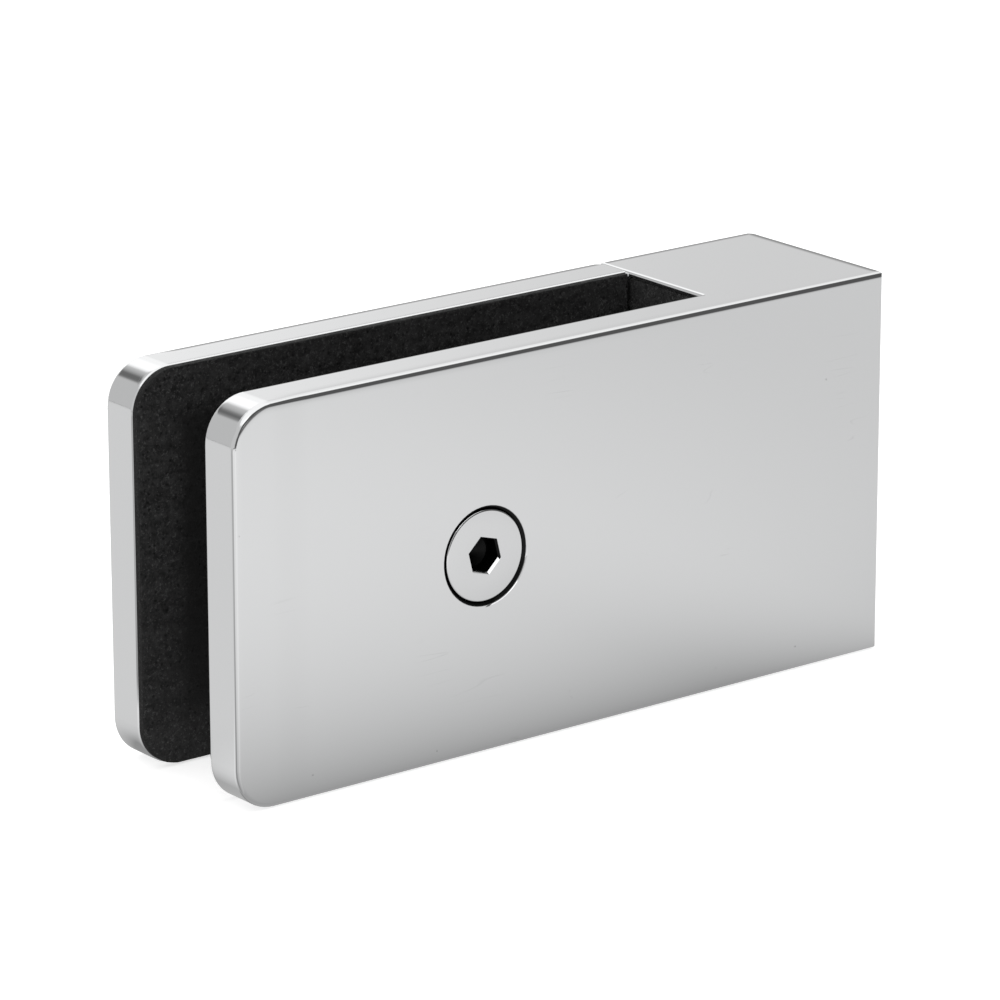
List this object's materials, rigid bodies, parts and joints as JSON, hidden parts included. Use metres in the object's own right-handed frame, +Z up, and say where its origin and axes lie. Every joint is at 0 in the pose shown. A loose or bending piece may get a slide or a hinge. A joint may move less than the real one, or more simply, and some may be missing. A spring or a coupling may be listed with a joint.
{
  "type": "glass panel clamp",
  "caption": "Slotted wall clamp for a glass pane: polished front jaw and end block, rear jaw drawn up by a countersunk screw, black linings in the slot.",
  "frame": {"origin": "centre of the face that meets the wall", "axes": "+X out of the clamp into the wall, along the glass slot; +Y from the front jaw to the rear jaw, square to the pane; +Z up, with the clamp on its lower long edge"},
  "size_m": [0.1008, 0.026, 0.05],
  "materials": {
    "polished_steel": "stainless steel, mirror polished",
    "screw_steel": "stainless steel, bright",
    "black_lining": "black, matt, finely pitted",
    "black_nylon": "black, matt"
  },
  "bodies": {
    "fixed_part": {"body": "polished_steel", "front_lining": "black_lining", "end_lining": "black_lining"},
    "moving_jaw": {"rear_jaw": "polished_steel", "rear_lining": "black_lining", "glass_bush": "black_nylon"},
    "screw": {"clamp_screw": "screw_steel"}
  },
  "joints": [
    {"name": "screw_turn", "type": "hinge", "parent": "fixed_part", "child": "screw", "pos_m": [-0.0637, -0.01298, 0], "axis": [0, 1, 0], "range_deg": [-1080, 720]},
    {"name": "jaw_slide", "type": "slide", "parent": "fixed_part", "child": "moving_jaw", "axis": [0, -1, 0], "range_m": [-0.003, 0.002]}
  ],
  "couplings": [
    {"joint": "screw_turn", "follows": "jaw_slide", "rad_per_m": 6283.2}
  ]
}
